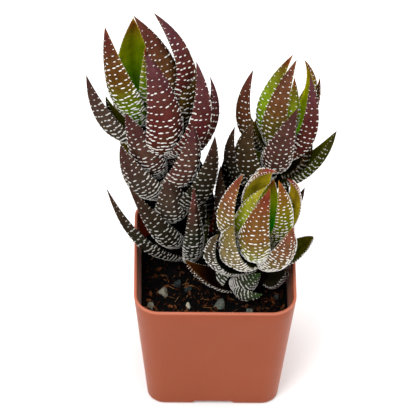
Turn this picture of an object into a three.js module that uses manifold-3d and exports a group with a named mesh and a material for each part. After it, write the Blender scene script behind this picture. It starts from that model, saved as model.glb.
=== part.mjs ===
// A small haworthia in a square plastic nursery pot.
// Units are millimetres. +Z is up and the plant's best side faces -Y.
// The origin is the centre of the pot's underside, on the plane that it stands on.

import * as THREE from 'three';
import { mergeVertices } from 'three/addons/utils/BufferGeometryUtils.js';
import Module from 'manifold-3d';

const wasm = await Module();
wasm.setup();

// ---------- driving dimensions ----------

const CLEARANCE = 0.3;          // gap between pieces that touch
const FACET_GAP = 0.15;         // added to it where the facets of both pieces cut into it

const POT_HEIGHT = 58;
const POT_TOP_WIDTH = 63.5;     // outside, across the flats at the rim
const POT_FOOT_WIDTH = 52;
const POT_TOP_CORNER = 10;      // outside corner radius at the rim
const POT_FOOT_CORNER = 7;
const POT_WALL = 1.1;
const POT_FLOOR = 1.2;
const POT_FOOT_ROUND = 1.2;     // rounding where the wall meets the floor
const RIM_ROUND = 0.28;         // rounding of the rim's outer edge
const CHANNEL_WIDTH = 14.5;     // drainage channel under the middle of each side
const CHANNEL_SPREAD = 1.5;     // how much wider the channel is at the ground, each side
const CHANNEL_HEIGHT = 1.5;
const CHANNEL_LENGTH = 12;
const DRAIN_RADIUS = 3;
const DRAIN_PLACE = 19;         // distance of each drain hole from the centre
const DRAIN_SIDES = 16;
const DRILL_LENGTH = 8;         // the drain holes' cutter, longer than the floor is thick

const SOIL_LEVEL = 42.4;        // top of the soil near the wall
const SOIL_MOUND = 1.0;         // how much higher the soil is in the middle
const SOIL_SWELL = 0.4;         // height of the slow swells, either way
const SWELL_RATE_X = 0.31;      // radians per millimetre
const SWELL_START_X = 1.2;
const SWELL_RATE_Y = 0.27;
const SWELL_START_Y = 0.4;
const SOIL_CRUMB = 0.55;        // height of the crumbs, either way
const SOIL_SCATTER = 0.4;       // how far a crumb lies from its even place, either way
const SOIL_RINGS = 7;           // rings of crumbs from the wall to the middle
const SOIL_CORNER_STEPS = 3;
const SOIL_SIDE_STEPS = 6;

const STEM_FOOT_RADIUS = 4.2;
const STEM_TIP_RADIUS = 2.6;
const STEM_SIDES = 6;
const STEM_STEPS = 5;

const LEAF_ROOT = 2.5;          // distance of a leaf's root from the stem's centre line
const LEAF_THICKNESS = 0.38;    // height of the rounded back as a share of the width
const LEAF_BULGE = 0.08;        // bulge of the inner face as a share of the width
const LEAF_WIDEST = 0.34;       // where along its length a leaf is widest
const LEAF_ROOT_SHARE = 0.62;   // width at the root as a share of the greatest
const LEAF_TAPER = 1.5;         // above 1, the outline stays broad and then turns to the tip
const LEAF_CURL = 1.4;          // above 1, more of the bend is near the root
const LEAF_STEPS = 8;
const BACK_SIDES = 4;           // faces across the rounded back
const TUBERCLE = 0.5;           // height of the tubercles on the back

// Each stem is one bend: foot at the soil, the point it leans through, and its growing tip.
const STEMS = {
  shoot_left: [[-7, 8, 38], [-22, 19, 76], [-28, 27, 112]],
  shoot_back: [[13, 12, 38], [22, 20, 70], [25, 27, 102]],
  shoot_front: [[16, -1, 38], [18, -4, 56], [19, -6, 74]],
  offset: [[3.5, -3, 38], [3.5, -4, 46.5], [9.8, -4.8, 50]],
};
// The offset is a small side shoot that lies against the front one and is one body with it.
const SIDE_SHOOTS = { shoot_front: 'offset' };

// The leaves that face outwards and forwards, from the growing tip down. Each row is: height as a share
// of the stem, direction in degrees from +X towards +Y, length, width, lean from the stem in degrees at
// the root and at the tip, and how far the tip sways to the leaf's left.
const LEAVES = {
  shoot_left: [
    [1.00, 115, 43, 15, 16, -24, -1], [0.99, 348, 52, 15, 69, -30, -2], [0.98, 310, 34, 10, 15, 10, -1],
    [0.95, 236, 52, 14, 30, 4, 2], [0.93, 336, 51, 18, 44, -30, 0], [0.84, 206, 42, 16, 49, 10, 2],
    [0.84, 177, 25, 9, 55, 6, 3], [0.83, 355, 61, 18, 54, -21, -3], [0.78, 300, 54, 16, 66, -33, 3],
    [0.78, 330, 52, 17, 84, -4, 3], [0.70, 5, 44, 14, 93, 4, 0], [0.63, 266, 41, 13, 34, 15, -2],
    [0.62, 352, 34, 15, 62, -14, 0], [0.59, 312, 41, 17, 70, 19, 3], [0.52, 241, 39, 15, 47, 17, 3],
    [0.47, 321, 46, 17.5, 77, 21, 4], [0.39, 284, 31, 14, 62, 8, 3], [0.28, 2, 36, 12, 50, 5, 0],
    [0.23, 268, 47, 10, 64, 1, -6], [0.22, 331, 32, 11, 47, 13, 3], [0.18, 5, 38, 10, 53, 5, 0],
    [0.14, 221, 51, 9, 53, 3, -1], [0.12, 295, 52, 9, 58, 15, 7], [0.10, 326, 24, 5, 50, 22, 4],
  ],
  shoot_back: [
    [0.95, 301, 30, 8, 23, -7, -1], [0.94, 215, 40, 11, 40, -40, -1], [0.94, 29, 38, 10, 58, -30, 0],
    [0.90, 245, 43, 10, 49, -43, 2], [0.87, 188, 38, 15, 57, -8, -1], [0.87, 21, 34, 8, 50, -4, -1],
    [0.83, 319, 42, 12, 52, -23, 2], [0.76, 261, 40, 12, 59, -6, 5], [0.72, 218, 34, 16, 81, -5, 2],
    [0.70, 2, 26, 12, 60, -20, 0], [0.65, 200, 36, 13, 88, -1, 2], [0.64, 350, 38, 14, 45, 19, -8],
    [0.45, 175, 30, 12, 66, 4, 0], [0.40, 185, 34, 14, 70, 6, 0], [0.39, 352, 21, 9, 59, 12, -1],
    [0.27, 215, 41, 14, 75, 6, -6], [0.22, 176, 36, 17, 62, 2, 0], [0.11, 192, 31, 9, 84, 0, 0],
  ],
  shoot_front: [
    [1.00, 90, 32, 9, 24, -13, -1], [0.99, 115, 47, 12, 50, -43, -1], [0.97, 196, 37, 11, 50, -36, 0],
    [0.97, 325, 45, 12, 22, -11, -4], [0.96, 190, 46, 16, 58, -20, -1], [0.93, 246, 46, 14, 63, -39, 1],
    [0.84, 41, 45, 8, 63, -35, -1], [0.76, 213, 39, 16, 68, -2, 3], [0.69, 297, 44, 14, 38, 9, -1],
    [0.60, 198, 45, 12, 88, -8, 7], [0.59, 10, 29, 10, 72, 4, -7], [0.32, 350, 13, 11, 72, 17, -1],
    [0.25, 191, 37, 11, 90, 31, 1],
  ],
  offset: [
    [0.96, 300, 12, 9.5, 69, 9, 2], [0.85, 280, 13, 11, 12, -14, 0], [0.80, 95, 12, 11, 30, 4, 0],
    [0.42, 180, 15, 8, 24, -28, -1],
  ],
};

// The leaves behind come by rule: how many there are, and for the highest and the lowest of them the
// height on the stem, the length, the width, the lean at the root and the lean at the tip.
const HIND_LEAVES = {
  shoot_left: { count: 9, spans: [[0.80, 0.22], [37, 32], [12, 12], [58, 58], [-4, 8]] },
  shoot_back: { count: 7, spans: [[0.82, 0.14], [33, 22], [12, 9], [58, 50], [-4, 6]] },
  shoot_front: { count: 5, spans: [[0.80, 0.28], [28, 20], [10, 9], [56, 48], [-6, 4]] },
};
const HIND_DIRECTION = 90;
const HIND_SPREAD = 42;         // how far to either side of it they point

// Pumice stones: where each lies on the soil, and its three widths.
const STONES = [
  [-20.2, -6.3, 5.6, 4.4, 3.8], [-25.2, -13.6, 3.6, 3.0, 3.4], [-14.7, -1.6, 4.4, 3.6, 3.0],
  [-10.3, -4.2, 3.6, 3.4, 3.2], [1.6, -12.4, 6.8, 5.0, 4.2], [-10.3, -13.8, 3.8, 2.2, 1.8],
  [2.2, -19.4, 4.0, 3.4, 3.0], [13.8, -17.0, 3.4, 3.0, 2.8], [24.6, -7.6, 3.2, 2.8, 2.6],
  [-23.4, 15.5, 4.4, 3.8, 3.2],
];
const STONE_UNEVEN = 0.22;      // how far a stone's corners are from even
const STONE_LIFT = 0.12;        // height of its middle above the soil as a share of its own height
const SEED = 7;

const FINISHES = {
  pot: { color: 0xaa5c42, roughness: 0.45 },
  soil: { color: 0x241610, roughness: 0.95 },
  shoot_left: { color: 0x6e4038, roughness: 0.5 },
  shoot_back: { color: 0x655a33, roughness: 0.5 },
  shoot_front: { color: 0x8a8a42, roughness: 0.5 },
  stone: { color: 0xa9a69a, roughness: 0.9 },
};

// ---------- helpers ----------

// A repeatable stream of numbers from 0 to 1.
function randomStream(seed) {
  const factor = 1664525;
  const step = 1013904223;
  let state = seed >>> 0;
  return () => {
    state = (Math.imul(state, factor) + step) >>> 0;
    return state / 2 ** 32;
  };
}

function toSolid(geometry) {
  const bare = geometry.clone();
  bare.deleteAttribute('normal');
  bare.deleteAttribute('uv');
  const merged = mergeVertices(bare, 1e-5);
  return new wasm.Manifold(new wasm.Mesh({
    numProp: 3,
    vertProperties: new Float32Array(merged.attributes.position.array),
    triVerts: new Uint32Array(merged.index.array),
  }));
}

function toGeometry(solid) {
  const mesh = solid.getMesh();
  const geometry = new THREE.BufferGeometry();
  geometry.setAttribute('position', new THREE.BufferAttribute(mesh.vertProperties, 3));
  geometry.setIndex(new THREE.BufferAttribute(mesh.triVerts, 1));
  geometry.computeVertexNormals();
  return geometry;
}

// The largest closed surface of a fused solid: small hollows that fusing sealed are filled.
function outerBody(solid) {
  return solid.decompose().reduce((best, body) => (body.volume() > best.volume() ? body : best));
}

// Skins a row of rings, each with the same number of points, into one closed body.
// The rings run along the body, and their points turn anticlockwise as seen from its far end.
function loft(rings, firstCentre, lastCentre) {
  const sides = rings[0].length;
  const points = [...rings.flat(), firstCentre, lastCentre];
  const first = points.length - 2;
  const last = points.length - 1;
  const faces = [];
  for (let ring = 0; ring < rings.length - 1; ring++) {
    for (let side = 0; side < sides; side++) {
      const next = (side + 1) % sides;
      const a = ring * sides + side;
      const b = ring * sides + next;
      faces.push(a, b, b + sides, a, b + sides, a + sides);
    }
  }
  const top = (rings.length - 1) * sides;
  for (let side = 0; side < sides; side++) {
    const next = (side + 1) % sides;
    faces.push(next, side, first);
    faces.push(top + side, top + next, last);
  }
  const geometry = new THREE.BufferGeometry().setFromPoints(points);
  geometry.setIndex(faces);
  return geometry;
}

// A square with round corners, as points that turn anticlockwise seen from above.
// Each corner has its own steps, and each straight side is split into as many as it is told.
function roundedSquare(halfWidth, corner, z, cornerSteps, sideSteps) {
  const ring = [];
  const straight = halfWidth - corner;
  const upright = new THREE.Vector3(0, 0, 1);
  for (let quarter = 0; quarter < 4; quarter++) {
    const turn = quarter * Math.PI / 2;
    for (let step = 1; step < sideSteps; step++) {
      const along = THREE.MathUtils.lerp(-straight, straight, step / sideSteps);
      ring.push(new THREE.Vector3(halfWidth, along, z).applyAxisAngle(upright, turn));
    }
    for (let step = 0; step <= cornerSteps; step++) {
      const angle = (step / cornerSteps) * Math.PI / 2;
      const x = straight + corner * Math.cos(angle);
      const y = straight + corner * Math.sin(angle);
      ring.push(new THREE.Vector3(x, y, z).applyAxisAngle(upright, turn));
    }
  }
  return ring;
}

// ---------- pot ----------

const POT_CORNER_STEPS = 5;

function potHalfWidth(z) {
  return THREE.MathUtils.mapLinear(z, 0, POT_HEIGHT, POT_FOOT_WIDTH / 2, POT_TOP_WIDTH / 2);
}

function potCorner(z) {
  return THREE.MathUtils.mapLinear(z, 0, POT_HEIGHT, POT_FOOT_CORNER, POT_TOP_CORNER);
}

// The pot's outline at a height, moved inwards by a distance.
function potRing(z, inset) {
  return roundedSquare(potHalfWidth(z) - inset, potCorner(z) - inset, z, POT_CORNER_STEPS, 1);
}

function stack(rings) {
  const bottom = rings[0][0].z;
  const top = rings.at(-1)[0].z;
  return loft(rings, new THREE.Vector3(0, 0, bottom), new THREE.Vector3(0, 0, top));
}

// One drainage channel's space under the +X side, grown by a margin, and turned to its side.
function channel(side, margin) {
  const half = CHANNEL_WIDTH / 2 + margin;
  const height = CHANNEL_HEIGHT + margin;
  const shape = new THREE.Shape([
    new THREE.Vector2(-half - CHANNEL_SPREAD, -1),
    new THREE.Vector2(half + CHANNEL_SPREAD, -1),
    new THREE.Vector2(half, height),
    new THREE.Vector2(-half, height),
  ]);
  const reach = POT_TOP_WIDTH / 2;
  const start = POT_FOOT_WIDTH / 2 - CHANNEL_LENGTH - margin;
  const geometry = new THREE.ExtrudeGeometry(shape, { depth: reach - start, bevelEnabled: false });
  geometry.rotateX(Math.PI / 2);
  geometry.rotateZ(Math.PI / 2);
  geometry.translate(start, 0, 0);
  geometry.rotateZ(side * Math.PI / 2);
  return toSolid(geometry);
}

function drainHole(side) {
  const geometry = new THREE.CylinderGeometry(DRAIN_RADIUS, DRAIN_RADIUS, DRILL_LENGTH, DRAIN_SIDES);
  geometry.rotateX(Math.PI / 2);
  geometry.translate(DRAIN_PLACE, 0, CHANNEL_HEIGHT);
  geometry.rotateZ(side * Math.PI / 2);
  return toSolid(geometry);
}

function makePot() {
  const bevel = POT_FOOT_ROUND * (1 - Math.SQRT1_2);
  const outside = toSolid(stack([
    potRing(0, POT_FOOT_ROUND),
    potRing(bevel, bevel),
    potRing(POT_FOOT_ROUND, 0),
    potRing(POT_HEIGHT - RIM_ROUND, 0),
    potRing(POT_HEIGHT, RIM_ROUND),
  ]));
  let inside = toSolid(stack([
    potRing(POT_FLOOR, POT_WALL + POT_FOOT_ROUND / 2),
    potRing(POT_FLOOR + POT_FOOT_ROUND, POT_WALL),
    potRing(POT_HEIGHT + POT_WALL, POT_WALL),
  ]));
  for (let side = 0; side < 4; side++) {
    inside = inside.subtract(channel(side, POT_FLOOR));
  }
  let pot = outside.subtract(inside);
  for (let side = 0; side < 4; side++) {
    pot = pot.subtract(channel(side, 0)).subtract(drainHole(side));
  }
  return pot;
}

// ---------- stems and leaves ----------

function stemCurve(name) {
  return new THREE.QuadraticBezierCurve3(...STEMS[name].map((p) => new THREE.Vector3(...p)));
}

function makeStem(name, margin) {
  const curve = stemCurve(name);
  const footCentre = curve.getPoint(0).addScaledVector(curve.getTangent(0), -margin);
  const rings = [];
  for (let step = 0; step <= STEM_STEPS; step++) {
    const share = step / STEM_STEPS;
    const along = curve.getTangent(share);
    const centre = curve.getPoint(share).addScaledVector(along, step === 0 ? -margin : 0);
    const across = new THREE.Vector3(0, 1, 0).cross(along).normalize();
    const over = along.clone().cross(across);
    const radius = THREE.MathUtils.lerp(STEM_FOOT_RADIUS, STEM_TIP_RADIUS, share) + margin;
    const ring = [];
    for (let side = 0; side < STEM_SIDES; side++) {
      const angle = (side / STEM_SIDES) * Math.PI * 2;
      ring.push(centre.clone()
        .addScaledVector(across, radius * Math.cos(angle))
        .addScaledVector(over, radius * Math.sin(angle)));
    }
    rings.push(ring);
  }
  const tip = curve.getPoint(1).addScaledVector(curve.getTangent(1), STEM_TIP_RADIUS);
  return toSolid(loft(rings, footCentre, tip));
}

// A leaf's width along its length, as a share of its greatest width.
function leafOutline(share) {
  if (share < LEAF_WIDEST) {
    const rise = Math.sin((share / LEAF_WIDEST) * Math.PI / 2);
    return LEAF_ROOT_SHARE + (1 - LEAF_ROOT_SHARE) * rise;
  }
  return 1 - ((share - LEAF_WIDEST) / (1 - LEAF_WIDEST)) ** LEAF_TAPER;
}

// How far a leaf leans from the stem along its length.
function leanAt(share, rootLean, tipLean) {
  const lean = tipLean + (rootLean - tipLean) * (1 - share) ** LEAF_CURL;
  return THREE.MathUtils.degToRad(lean);
}

// One thick pointed leaf: flat inside, rounded outside, with rows of tubercles on its back.
function makeLeaf(stem, [height, direction, length, width, rootLean, tipLean, sway]) {
  const along = stem.getTangent(height);
  const turn = THREE.MathUtils.degToRad(direction);
  const out = new THREE.Vector3(Math.cos(turn), Math.sin(turn), 0).projectOnPlane(along).normalize();
  const side = along.clone().cross(out);
  const root = stem.getPoint(height).addScaledVector(out, LEAF_ROOT);
  const spine = root.clone();
  const step = length / LEAF_STEPS;
  const rings = [];
  for (let i = 0; i < LEAF_STEPS; i++) {
    const share = i / LEAF_STEPS;
    const lean = leanAt(share, rootLean, tipLean);
    const back = out.clone().multiplyScalar(Math.cos(lean)).addScaledVector(along, -Math.sin(lean));
    const centre = spine.clone().addScaledVector(side, sway * share ** 2);
    const size = width * leafOutline(share);
    const bump = i === 0 ? 0 : TUBERCLE * Math.min(1, 2 * leafOutline(share));
    const ring = [];
    for (let k = 0; k <= BACK_SIDES; k++) {
      const angle = (k / BACK_SIDES) * Math.PI;
      const raised = k > 0 && k < BACK_SIDES && (k + i) % 2 === 0 ? bump : 0;
      ring.push(centre.clone()
        .addScaledVector(side, -Math.cos(angle) * (size / 2 + raised))
        .addScaledVector(back, Math.sin(angle) * (LEAF_THICKNESS * size + raised)));
    }
    ring.push(centre.clone().addScaledVector(back, -LEAF_BULGE * size));
    rings.push(ring);
    const middle = leanAt(share + 0.5 / LEAF_STEPS, rootLean, tipLean);
    spine.addScaledVector(along, step * Math.cos(middle)).addScaledVector(out, step * Math.sin(middle));
  }
  return toSolid(loft(rings, root, spine.addScaledVector(side, sway)));
}

// Rows for the leaves at the back of a shoot: left, right and middle in turn, from the top down.
function hindLeaves(name) {
  if (!HIND_LEAVES[name]) {
    return [];
  }
  const { count, spans } = HIND_LEAVES[name];
  return Array.from({ length: count }, (_, i) => {
    const [height, ...sizes] = spans.map(([high, low]) => THREE.MathUtils.lerp(high, low, i / (count - 1)));
    const direction = HIND_DIRECTION + HIND_SPREAD * ((i % 3) - 1) * (-1) ** i;
    return [height, direction, ...sizes, 0];
  });
}

function leafyStem(name) {
  const stem = stemCurve(name);
  let leafy = makeStem(name, 0);
  for (const leaf of [...LEAVES[name], ...hindLeaves(name)]) {
    leafy = leafy.add(makeLeaf(stem, leaf));
  }
  return leafy;
}

function makeShoot(name) {
  const shoot = leafyStem(name);
  return outerBody(SIDE_SHOOTS[name] ? shoot.add(leafyStem(SIDE_SHOOTS[name])) : shoot);
}

// ---------- soil and stones ----------

function soilHeight(x, y) {
  const edge = Math.max(Math.abs(x), Math.abs(y)) / (POT_TOP_WIDTH / 2);
  const swell = Math.sin(x * SWELL_RATE_X + SWELL_START_X) * Math.cos(y * SWELL_RATE_Y + SWELL_START_Y);
  return SOIL_LEVEL + SOIL_MOUND * (1 - edge * edge) + SOIL_SWELL * swell;
}

// A ball with uneven corners, grown by a margin.
function makeStone([x, y, long, wide, high], index, margin) {
  const random = randomStream(SEED + index);
  const corners = new Map();
  const geometry = new THREE.IcosahedronGeometry(1, 1);
  const position = geometry.attributes.position;
  const turn = random() * Math.PI * 2;
  for (let i = 0; i < position.count; i++) {
    const point = new THREE.Vector3().fromBufferAttribute(position, i);
    const key = point.toArray().map((value) => value.toFixed(3)).join(' ');
    if (!corners.has(key)) {
      corners.set(key, 1 - STONE_UNEVEN * random());
    }
    const radii = new THREE.Vector3(long, wide, high).multiplyScalar(corners.get(key) / 2);
    point.multiply(radii.addScalar(margin));
    position.setXYZ(i, point.x, point.y, point.z);
  }
  geometry.rotateZ(turn);
  geometry.translate(x, y, soilHeight(x, y) + high * STONE_LIFT);
  return toSolid(geometry);
}

function makeSoil() {
  const random = randomStream(SEED);
  const either = (reach) => (random() * 2 - 1) * reach;
  const inset = POT_WALL + CLEARANCE + FACET_GAP;
  const half = potHalfWidth(SOIL_LEVEL) - inset;
  const corner = potCorner(SOIL_LEVEL) - inset;
  const bottom = POT_FLOOR + CHANNEL_HEIGHT + CLEARANCE;
  const floorHalf = potHalfWidth(bottom) - inset;
  const floorCorner = potCorner(bottom) - inset;
  const rings = [roundedSquare(floorHalf, floorCorner, bottom, SOIL_CORNER_STEPS, SOIL_SIDE_STEPS)];
  for (let i = 0; i < SOIL_RINGS; i++) {
    const share = 1 - i / SOIL_RINGS;
    const ring = roundedSquare(
      half * share, corner * share, SOIL_LEVEL, SOIL_CORNER_STEPS, SOIL_SIDE_STEPS,
    );
    for (const point of ring) {
      if (i > 0) {
        point.x += either(SOIL_SCATTER);
        point.y += either(SOIL_SCATTER);
      }
      point.z = soilHeight(point.x, point.y) + either(SOIL_CRUMB);
    }
    rings.push(ring);
  }
  const centre = new THREE.Vector3(0, 0, soilHeight(0, 0));
  let soil = toSolid(loft(rings, new THREE.Vector3(0, 0, bottom), centre));
  for (const name of Object.keys(STEMS)) {
    soil = soil.subtract(makeStem(name, CLEARANCE + FACET_GAP));
  }
  STONES.forEach((stone, index) => {
    soil = soil.subtract(makeStone(stone, index, CLEARANCE + FACET_GAP));
  });
  return soil;
}

// ---------- assembly ----------

const haworthia = new THREE.Group();

function addPiece(name, solid, finish) {
  const material = new THREE.MeshStandardMaterial({ ...finish, metalness: 0 });
  const mesh = new THREE.Mesh(toGeometry(solid), material);
  mesh.name = name;
  haworthia.add(mesh);
}

addPiece('pot', makePot(), FINISHES.pot);
addPiece('soil', makeSoil(), FINISHES.soil);
for (const name of Object.keys(HIND_LEAVES)) {
  addPiece(name, makeShoot(name), FINISHES[name]);
}
STONES.forEach((stone, index) => {
  addPiece(`stone_${index + 1}`, makeStone(stone, index, 0), FINISHES.stone);
});

export default haworthia;
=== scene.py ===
# A small haworthia in a square plastic nursery pot: the looks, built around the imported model.
# Lengths are in millimetres, as in the part's source, and make_piece turns a mesh's points into metres.
# The camera's distance, the lights and the grain of the materials are in metres.
import math

import bmesh
import bpy
import numpy as np
from mathutils import Matrix, Vector


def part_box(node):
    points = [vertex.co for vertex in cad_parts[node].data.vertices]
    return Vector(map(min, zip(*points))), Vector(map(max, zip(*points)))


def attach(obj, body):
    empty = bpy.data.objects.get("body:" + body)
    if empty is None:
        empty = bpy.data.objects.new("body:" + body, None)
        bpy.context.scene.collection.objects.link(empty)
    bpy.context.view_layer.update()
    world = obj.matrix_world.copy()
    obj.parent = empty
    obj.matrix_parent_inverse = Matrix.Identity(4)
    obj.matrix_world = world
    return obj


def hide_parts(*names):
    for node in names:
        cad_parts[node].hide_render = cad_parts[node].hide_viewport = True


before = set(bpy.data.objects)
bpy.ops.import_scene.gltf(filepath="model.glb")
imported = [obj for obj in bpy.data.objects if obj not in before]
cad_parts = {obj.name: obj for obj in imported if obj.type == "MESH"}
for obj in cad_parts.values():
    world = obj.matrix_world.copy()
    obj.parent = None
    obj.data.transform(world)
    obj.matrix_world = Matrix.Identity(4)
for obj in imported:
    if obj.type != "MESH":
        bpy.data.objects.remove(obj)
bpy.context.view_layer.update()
MM = 0.001

# ---------- driving dimensions, the same as the solids have ----------

POT_HEIGHT = 58
POT_TOP_WIDTH = 63.5
POT_FOOT_WIDTH = 52
POT_TOP_CORNER = 10
POT_FOOT_CORNER = 7
POT_WALL = 1.1
POT_FLOOR = 1.2
POT_FOOT_ROUND = 1.2
CHANNEL_WIDTH = 14.5
CHANNEL_SPREAD = 1.5
CHANNEL_HEIGHT = 1.5
CHANNEL_LENGTH = 12
CHANNEL_END = 0.6
DRAIN_RADIUS = 3
DRAIN_PLACE = 19

SOIL_LEVEL = 42.4
SOIL_MOUND = 1.0
# The soil's top swells by this much, at these rates in radians per millimetre.
SWELL_HEIGHT = 0.4
SWELL_RATE_X = 0.31
SWELL_RATE_Y = 0.27

STEM_FOOT_RADIUS = 4.2
STEM_TIP_RADIUS = 2.6
LEAF_ROOT = 2.5
LEAF_THICKNESS = 0.38
LEAF_WIDEST = 0.34
LEAF_ROOT_SHARE = 0.62
LEAF_TAPER = 1.5
LEAF_CURL = 1.4

# Each stem is one bend: foot at the soil, the point it leans through, and its growing tip.
STEMS = {
    "shoot_left": [(-7, 8, 38), (-22, 19, 76), (-28, 27, 112)],
    "shoot_back": [(13, 12, 38), (22, 20, 70), (25, 27, 102)],
    "shoot_front": [(16, -1, 38), (18, -4, 56), (19, -6, 74)],
    "offset": [(3.5, -3, 38), (3.5, -4, 46.5), (9.8, -4.8, 50)],
}
# The offset is a small side shoot that lies against the front one and is one body with it.
SIDE_SHOOTS = {"shoot_front": "offset"}

# The leaves that face outwards and forwards, with dark ones between the stems, the darkest of them near-black
# in painted shade, from the growing tip down.
# Each row is: height as a share of the stem, direction in degrees from +X towards +Y, length, width, lean at
# the root and at the tip in degrees, how far the tip sways to the side, and its tone.
LEAVES = {
    "shoot_left": [
        (1.00, 115, 43, 15, 16, -24, -1, "lime"), (0.99, 348, 52, 15, 69, -30, -2, "purple"),
        (0.98, 310, 34, 10, 15, 10, -1, "lime"), (0.95, 236, 52, 14, 30, 4, 2, "moss"),
        (0.93, 336, 51, 18, 44, -30, 0, "brown"), (0.84, 206, 42, 16, 49, 10, 2, "dusk"),
        (0.84, 177, 25, 9, 55, 6, 3, "deep"), (0.83, 355, 61, 18, 54, -21, -3, "chestnut"),
        (0.78, 300, 54, 16, 66, -33, 3, "purple"), (0.78, 330, 52, 17, 84, -4, 3, "purple"),
        (0.70, 5, 44, 14, 93, 4, 0, "purple"), (0.63, 266, 41, 13, 34, 15, -2, "wine"),
        (0.62, 352, 34, 15, 62, -14, 0, "dusk"), (0.59, 312, 41, 17, 70, 19, 3, "wine"),
        (0.52, 241, 39, 15, 47, 17, 3, "dusk"), (0.47, 321, 46, 17.5, 77, 21, 4, "coal"),
        (0.39, 284, 31, 14, 62, 8, 3, "dusk"),
        (0.28, 2, 36, 12, 50, 5, 0, "painted_shade"), (0.23, 268, 47, 10, 64, 1, -6, "coal"),
        (0.22, 331, 32, 11, 47, 13, 3, "coal"), (0.18, 5, 38, 10, 53, 5, 0, "painted_shade"),
        (0.14, 221, 51, 9, 53, 3, -1, "coal"), (0.12, 295, 52, 9, 58, 15, 7, "slate"),
        (0.10, 326, 24, 5, 50, 22, 4, "deep"),
    ],
    "shoot_back": [
        (0.95, 301, 30, 8, 23, -7, -1, "lime"), (0.94, 215, 40, 11, 40, -40, -1, "lime"),
        (0.94, 29, 38, 10, 58, -30, 0, "fresh"), (0.90, 245, 43, 10, 49, -43, 2, "blush"),
        (0.87, 188, 38, 15, 57, -8, -1, "brown"), (0.87, 21, 34, 8, 50, -4, -1, "brown"),
        (0.83, 319, 42, 12, 52, -23, 2, "purple"), (0.76, 261, 40, 12, 59, -6, 5, "wine"),
        (0.72, 218, 34, 16, 81, -5, 2, "olive"), (0.70, 2, 26, 12, 60, -20, 0, "brown"),
        (0.65, 200, 36, 13, 88, -1, 2, "coal"), (0.64, 350, 38, 14, 45, 19, -8, "deep"),
        (0.45, 175, 30, 12, 66, 4, 0, "painted_shade"), (0.40, 185, 34, 14, 70, 6, 0, "painted_shade"),
        (0.39, 352, 21, 9, 59, 12, -1, "coal"), (0.27, 215, 41, 14, 75, 6, -6, "coal"),
        (0.22, 176, 36, 17, 62, 2, 0, "painted_shade"), (0.11, 192, 31, 9, 84, 0, 0, "coal"),
    ],
    "shoot_front": [
        (1.00, 90, 32, 9, 24, -13, -1, "lime"), (0.99, 115, 47, 12, 50, -43, -1, "amber"),
        (0.97, 196, 37, 11, 50, -36, 0, "spring"), (0.97, 325, 45, 12, 22, -11, -4, "gold"),
        (0.96, 190, 46, 16, 58, -20, -1, "amber"), (0.93, 246, 46, 14, 63, -39, 1, "flame"),
        (0.84, 41, 45, 8, 63, -35, -1, "amber"), (0.76, 213, 39, 16, 68, -2, 3, "sage"),
        (0.69, 297, 44, 14, 38, 9, -1, "rust"), (0.60, 198, 45, 12, 88, -8, 7, "ash"),
        (0.59, 10, 29, 10, 72, 4, -7, "deep"), (0.32, 350, 13, 11, 72, 17, -1, "loam"),
        (0.25, 191, 37, 11, 90, 31, 1, "russet"),
    ],
    "offset": [
        (0.96, 300, 12, 9.5, 69, 9, 2, "jade"), (0.85, 280, 13, 11, 12, -14, 0, "jade"),
        (0.80, 95, 12, 11, 30, 4, 0, "moss"), (0.42, 180, 15, 8, 24, -28, -1, "jade"),
    ],
}

# The leaves behind come by rule: how many there are, and for the highest and the lowest of them the
# height on the stem, the length, the width, the lean at the root and the lean at the tip.
HIND_LEAVES = {
    "shoot_left": (9, (0.80, 0.22), (37, 32), (12, 12), (58, 58), (-4, 8)),
    "shoot_back": (7, (0.82, 0.14), (33, 22), (12, 9), (58, 50), (-4, 6)),
    "shoot_front": (5, (0.80, 0.28), (28, 20), (10, 9), (56, 48), (-6, 4)),
}
HIND_DIRECTION = 90
HIND_SPREAD = 42
HIND_TONES = {
    "shoot_left": ("brown", "dusk", "coal"),
    "shoot_back": ("moss", "dusk", "coal"),
    "shoot_front": ("amber", "sage", "sage"),
}
# Just under the number of tones, so that the lowest leaf takes the last of them.
HIND_TONE_STEPS = 2.99

# What differs from shoot to shoot: the gap between rows of tubercles near the root and near the tip, the gap
# between their files near the root and near the tip, a tubercle's size along the leaf, how much wider than
# that it is across, and the slot. On leaves under 33 mm the rows and files stand closer.
SHOOT_LOOK = {
    "shoot_left": {
        "gap": (1.3, 2.4), "file_gap": (1.5, 2.0), "dot": 0.30, "stretch": 2.1, "slot": "leaf_purple",
    },
    "shoot_back": {
        "gap": (1.3, 2.2), "file_gap": (1.5, 2.1), "dot": 0.28, "stretch": 1.7, "slot": "leaf_olive",
    },
    "shoot_front": {
        "gap": (1.2, 1.8), "file_gap": (1.5, 2.1), "dot": 0.27, "stretch": 2.3, "slot": "leaf_green",
    },
}
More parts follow.
